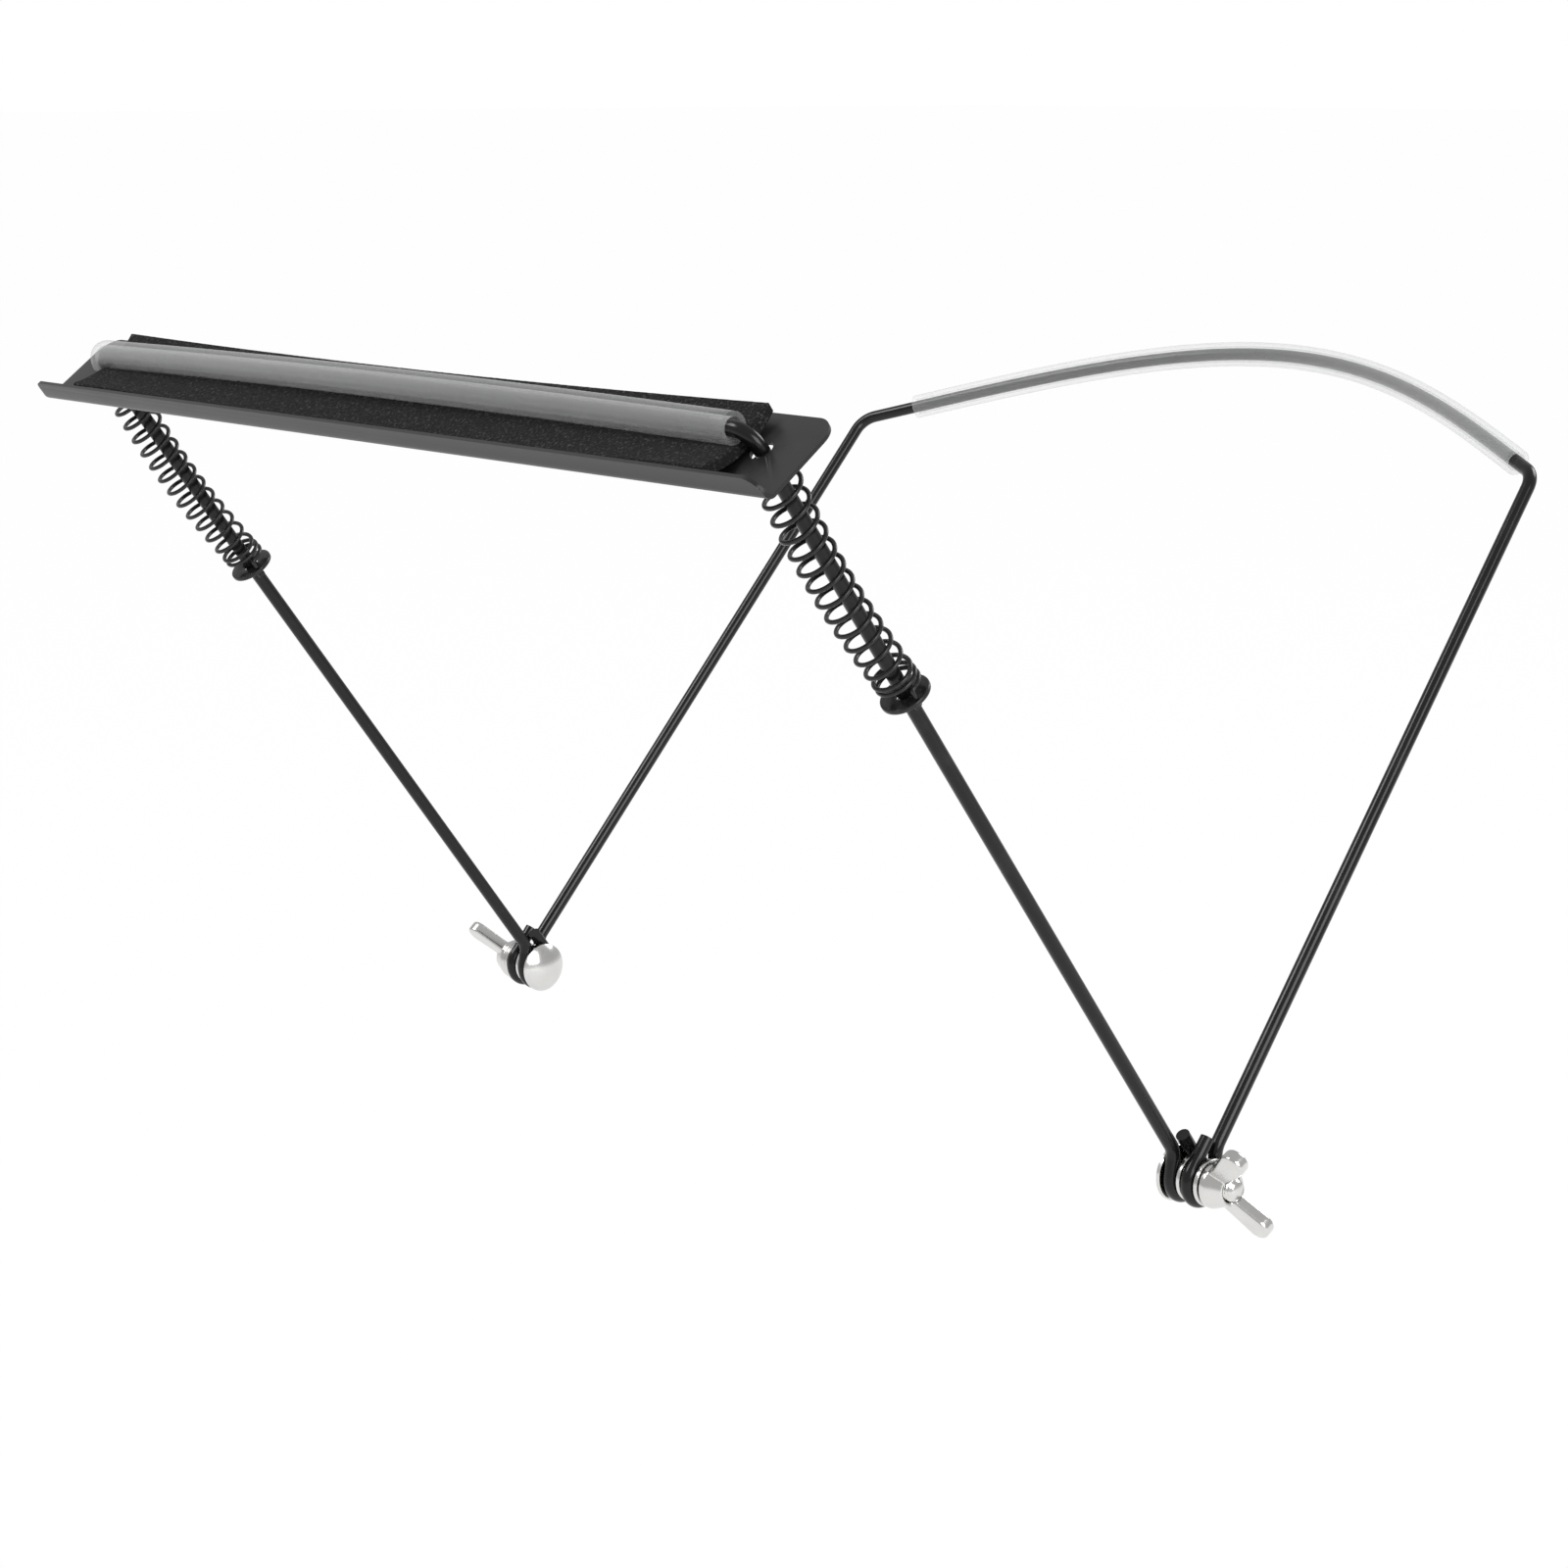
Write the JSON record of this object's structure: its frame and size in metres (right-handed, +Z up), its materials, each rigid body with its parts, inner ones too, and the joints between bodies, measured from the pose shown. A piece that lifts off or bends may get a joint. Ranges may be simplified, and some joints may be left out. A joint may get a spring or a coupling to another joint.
{
  "type": "harmonica holder",
  "caption": "Neck-worn harmonica holder: a bent-rod neck yoke and a hinged arm whose sprung padded plate grips a harmonica under a soft-tubed crossbar.",
  "frame": {"origin": "the middle of the neck rest, on the inner side of the neck tube", "axes": "+X along the hinge bolts to the wearer's left, -Y to the wearer's front, +Z up"},
  "size_m": [0.2544, 0.2764, 0.1749],
  "materials": {
    "black_enamel": "gloss black enamel on steel rod",
    "black_powder_coat": "satin black coat on steel sheet",
    "black_steel": "black oxide spring steel, semi-gloss",
    "black_foam": "matt open-pored foam",
    "clear_vinyl": "clear soft tube",
    "nickel": "bright nickel plate"
  },
  "bodies": {
    "yoke": {"neck_yoke_rod": "black_enamel", "neck_tube": "clear_vinyl", "bolt_left": "nickel", "bolt_right": "nickel", "inner_washer_left": "nickel", "inner_washer_right": "nickel"},
    "arm": {"arm_frame_rod": "black_enamel", "crossbar_tube": "clear_vinyl", "spring_collar_left": "black_steel", "spring_collar_right": "black_steel", "spring_left": "black_steel", "spring_right": "black_steel"},
    "plate": {"harmonica_plate": "black_powder_coat", "foam_pad": "black_foam"},
    "washer_left": {"outer_washer_left": "nickel"},
    "washer_right": {"outer_washer_right": "nickel"},
    "nut_left": {"wing_nut_left": "nickel"},
    "nut_right": {"wing_nut_right": "nickel"}
  },
  "joints": [
    {"name": "arm_hinge", "type": "hinge", "parent": "yoke", "child": "arm", "pos_m": [0, -0.14387, -0.15058], "axis": [1, 0, 0], "range_deg": [-70, 100]},
    {"name": "plate_slide", "type": "slide", "parent": "arm", "child": "plate", "axis": [0, 0.5948, -0.8039], "range_m": [0, 0.03], "stiffness_N_per_m": 400, "springref_m": -0.012, "deforming": ["spring_left", "spring_right"]},
    {"name": "nut_travel_left", "type": "slide", "parent": "yoke", "child": "washer_left", "axis": [-1, 0, 0], "range_m": [0, 0.0008]},
    {"name": "nut_turn_left", "type": "hinge", "parent": "washer_left", "child": "nut_left", "pos_m": [-0.1157, -0.14387, -0.15058], "axis": [-1, 0, 0], "range_deg": [0, 360]},
    {"name": "nut_travel_right", "type": "slide", "parent": "yoke", "child": "washer_right", "axis": [1, 0, 0], "range_m": [0, 0.0008]},
    {"name": "nut_turn_right", "type": "hinge", "parent": "washer_right", "child": "nut_right", "pos_m": [0.1157, -0.14387, -0.15058], "axis": [1, 0, 0], "range_deg": [0, 360]}
  ],
  "couplings": [
    {"joint": "nut_travel_left", "follows": "nut_turn_left", "m_per_rad": 0.00012732},
    {"joint": "nut_travel_right", "follows": "nut_turn_right", "m_per_rad": 0.00012732}
  ]
}
